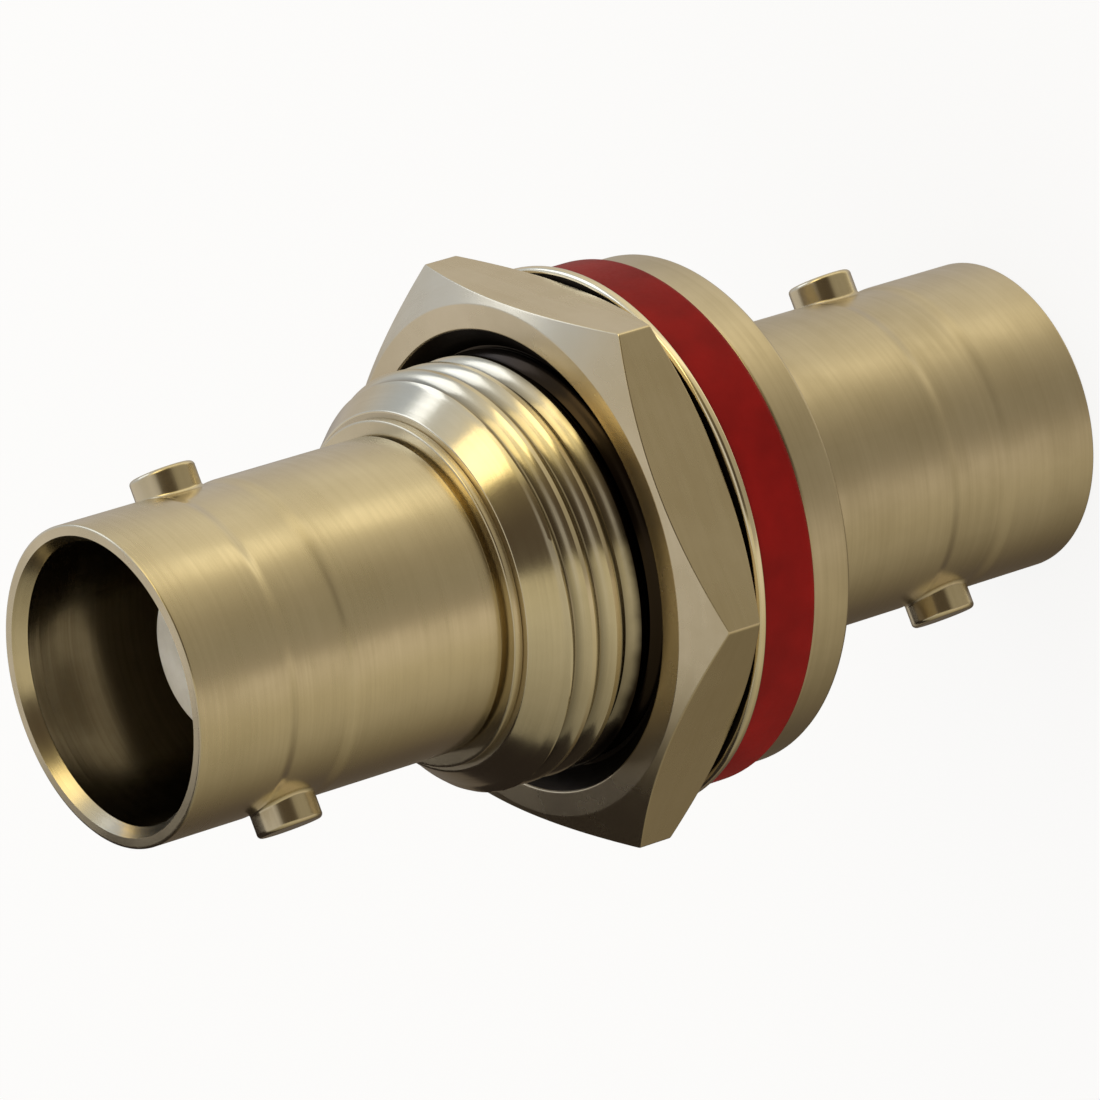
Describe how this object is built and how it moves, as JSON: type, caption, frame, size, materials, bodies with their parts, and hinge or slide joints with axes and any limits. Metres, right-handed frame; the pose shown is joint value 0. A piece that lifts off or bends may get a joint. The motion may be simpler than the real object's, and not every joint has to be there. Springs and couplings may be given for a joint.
{
  "type": "coaxial bulkhead adapter",
  "caption": "Panel-mount coaxial adapter: a bayonet jack at each end, flange, red gasket, washer and hex nut on a threaded neck.",
  "frame": {"origin": "centre of the rear mouth's rim, which is the middle of the box's bottom", "axes": "+Z along the connector's axis towards the front mouth, X through the bayonet lugs"},
  "size_m": [0.0184, 0.0166, 0.0335],
  "materials": {
    "plated_body": "satin nickel plate on turned brass",
    "plated_shell": "satin nickel plate on turned brass",
    "insulation": "turned fluoropolymer, waxy",
    "gold_contact": "gold plate on turned copper alloy",
    "red_gasket": "smooth moulded silicone rubber",
    "plated_washer": "bright nickel plate on punched brass",
    "plated_nut": "satin nickel plate on machined brass"
  },
  "bodies": {
    "adapter": {"main_body": "plated_body", "front_shell": "plated_shell", "front_insulator": "insulation", "rear_insulator": "insulation", "centre_contact": "gold_contact", "gasket": "red_gasket"},
    "washer": {"washer": "plated_washer"},
    "nut": {"hex_nut": "plated_nut"}
  },
  "joints": [
    {"name": "nut_travel", "type": "slide", "parent": "adapter", "child": "washer", "axis": [0, 0, 1], "range_m": [0, 0.00544]},
    {"name": "nut_turn", "type": "hinge", "parent": "washer", "child": "nut", "pos_m": [0, 0, 0.016], "axis": [0, 0, 1], "range_deg": [0, 2160]}
  ],
  "couplings": [
    {"joint": "nut_travel", "follows": "nut_turn", "m_per_rad": 0.00014435}
  ]
}
